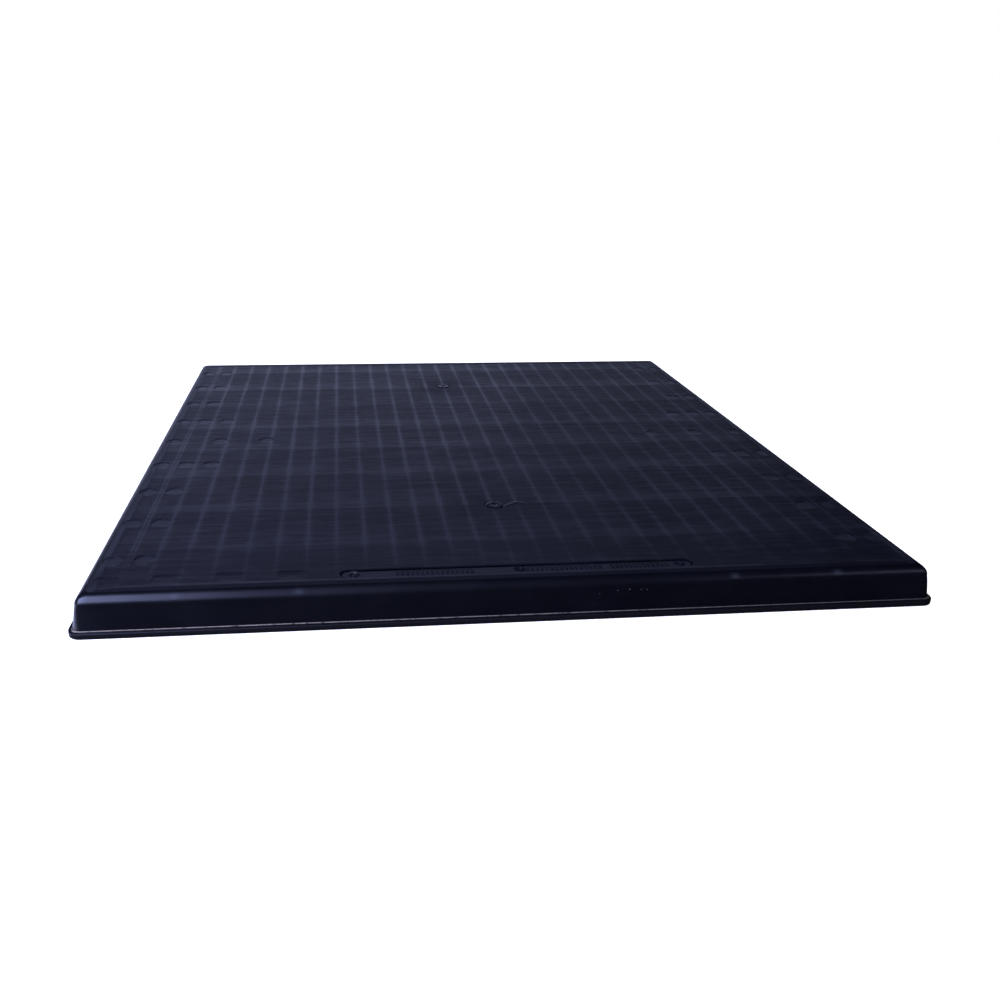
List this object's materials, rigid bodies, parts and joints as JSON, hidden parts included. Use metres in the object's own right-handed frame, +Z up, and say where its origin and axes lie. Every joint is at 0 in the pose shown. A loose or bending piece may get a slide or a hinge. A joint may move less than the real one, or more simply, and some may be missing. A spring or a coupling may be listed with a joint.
{
  "type": "equipment pad",
  "caption": "Square black plastic ground pad with a ribbed underside, bent-over skirt, small ground flange, round recesses along two sides and a blank name strip.",
  "frame": {"origin": "centre of the ground plane, under the middle of the deck", "axes": "+Z up out of the deck, -Y towards the edge that carries the name strip, +X to the right seen from that edge"},
  "size_m": [0.9144, 0.9144, 0.043],
  "materials": {
    "deck_plastic": "black with a slight blue cast, fine directional grain, rib lines reading through",
    "skirt_plastic": "smooth satin black",
    "bead_plastic": "pale warm grey, dusty and uneven"
  },
  "bodies": {
    "root": {"deck_panel": "deck_plastic", "rim_skirt": "skirt_plastic", "base_flange": "skirt_plastic", "foot_bead": "bead_plastic", "rib_grid_front": "skirt_plastic", "rib_grid_rear": "skirt_plastic", "name_strip": "deck_plastic", "strip_stud_left": "deck_plastic", "strip_stud_centre": "deck_plastic", "strip_stud_right": "deck_plastic", "gate_stub_front": "deck_plastic", "gate_stub_rear": "deck_plastic"}
  },
  "joints": []
}
